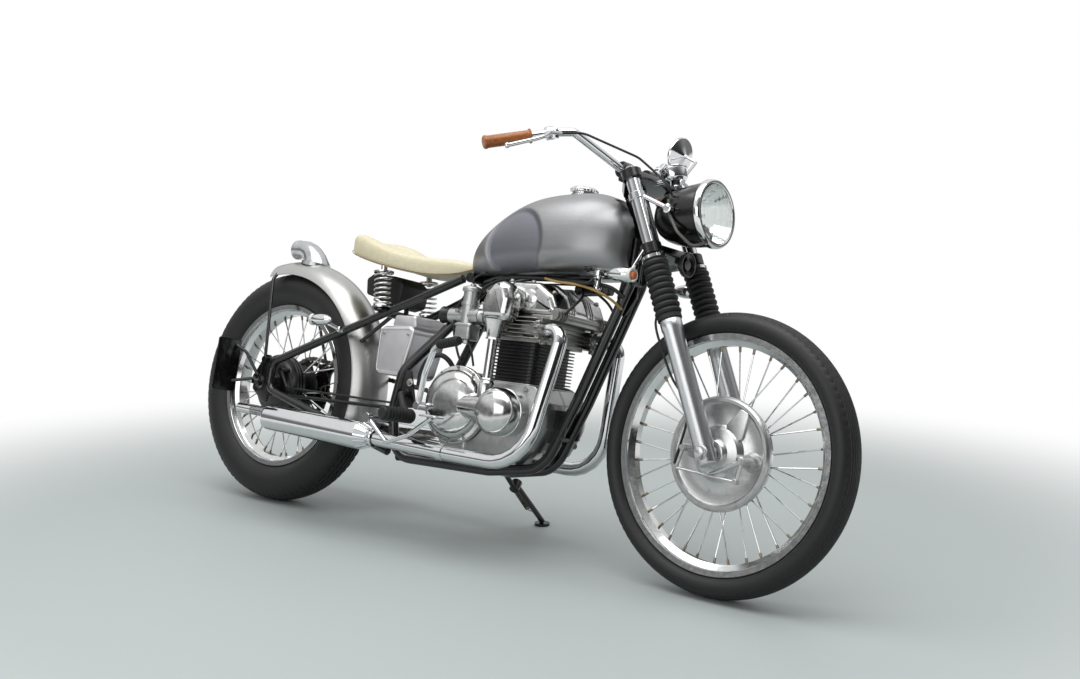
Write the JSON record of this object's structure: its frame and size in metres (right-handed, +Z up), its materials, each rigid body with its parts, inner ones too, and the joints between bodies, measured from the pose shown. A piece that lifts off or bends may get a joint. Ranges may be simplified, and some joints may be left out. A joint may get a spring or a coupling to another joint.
{
  "type": "bobber motorcycle",
  "caption": "Hardtail bobber motorcycle with an upright air-cooled twin, sprung solo saddle, wire wheels and turning fork, leaning on its side stand.",
  "frame": {"origin": "on the floor, under the middle of the bounding box", "axes": "+X forward, +Y to the bike's left, +Z up; the bike leans to +Y on its side stand"},
  "size_m": [2.2475, 0.85, 1.1166],
  "materials": {
    "black_frame_paint": "gloss black enamel",
    "bare_tank_steel": "brushed and clear coated",
    "chromed_steel": "polished",
    "cream_leather": "matt",
    "spring_steel": "bright",
    "black_plastic": "satin",
    "silver_paint": "satin silver",
    "cast_aluminium": "as cast",
    "polished_aluminium": "polished",
    "black_cylinder_paint": "satin black",
    "black_rubber": "matt",
    "tyre_rubber": "matt",
    "brown_leather": "satin",
    "lamp_glass": "clear",
    "chain_steel": "oiled"
  },
  "bodies": {
    "chassis": {"bevel_tower": "polished_aluminium", "carburettors": "cast_aluminium", "crankcase": "cast_aluminium", "cylinder_block": "black_cylinder_paint", "cylinder_head": "cast_aluminium", "drive_chain": "chain_steel", "electrics_tray": "black_plastic", "engine_covers": "polished_aluminium", "exhaust_pipes": "chromed_steel", "fender_stays": "black_frame_paint", "filler_cap": "chromed_steel", "foot_levers": "chromed_steel", "footpegs": "black_rubber", "frame": "black_frame_paint", "fuel_tank": "bare_tank_steel", "hardtail": "black_frame_paint", "mufflers": "chromed_steel", "rear_brake_plate": "black_cylinder_paint", "rear_fender": "silver_paint", "rear_indicators": "cast_aluminium", "rocker_cover": "polished_aluminium", "saddle": "cream_leather", "saddle_springs": "spring_steel", "side_box": "silver_paint", "tail_lamp": "cast_aluminium"},
    "side_stand_leg": {"side_stand": "black_frame_paint"},
    "steering_assembly": {"control_cables": "black_rubber", "control_levers": "chromed_steel", "fork_gaiters": "black_rubber", "fork_sliders": "cast_aluminium", "fork_tubes": "chromed_steel", "fork_yokes": "black_frame_paint", "front_brake_plate": "cast_aluminium", "front_indicators": "cast_aluminium", "grips": "brown_leather", "handlebar": "chromed_steel", "headlamp_glass": "lamp_glass", "headlamp_shell": "black_cylinder_paint", "mirror": "chromed_steel", "speedometer": "chromed_steel"},
    "front_wheel_set": {"front_tyre": "tyre_rubber", "front_wheel": "polished_aluminium"},
    "rear_wheel_set": {"rear_tyre": "tyre_rubber", "rear_wheel": "polished_aluminium"}
  },
  "joints": [
    {"name": "steering", "type": "hinge", "parent": "chassis", "child": "steering_assembly", "pos_m": [0.47445, -0.02326, 0.83901], "axis": [-0.4305, 0.1944, 0.8814], "range_deg": [-29.9, 36.1]},
    {"name": "front_wheel_spin", "type": "hinge", "parent": "steering_assembly", "child": "front_wheel_set", "pos_m": [0.78413, -0.13765, 0.33477], "axis": [0.0488, 0.9801, -0.1924], "continuous": true},
    {"name": "rear_wheel_spin", "type": "hinge", "parent": "chassis", "child": "rear_wheel_set", "pos_m": [-0.7708, -0.13184, 0.34682], "axis": [0, 0.9765, -0.2154], "continuous": true},
    {"name": "side_stand_fold", "type": "hinge", "parent": "chassis", "child": "side_stand_leg", "pos_m": [0.0742, -0.05173, 0.14363], "axis": [-0.2428, 0.7827, 0.5731], "range_deg": [0, 85]}
  ]
}
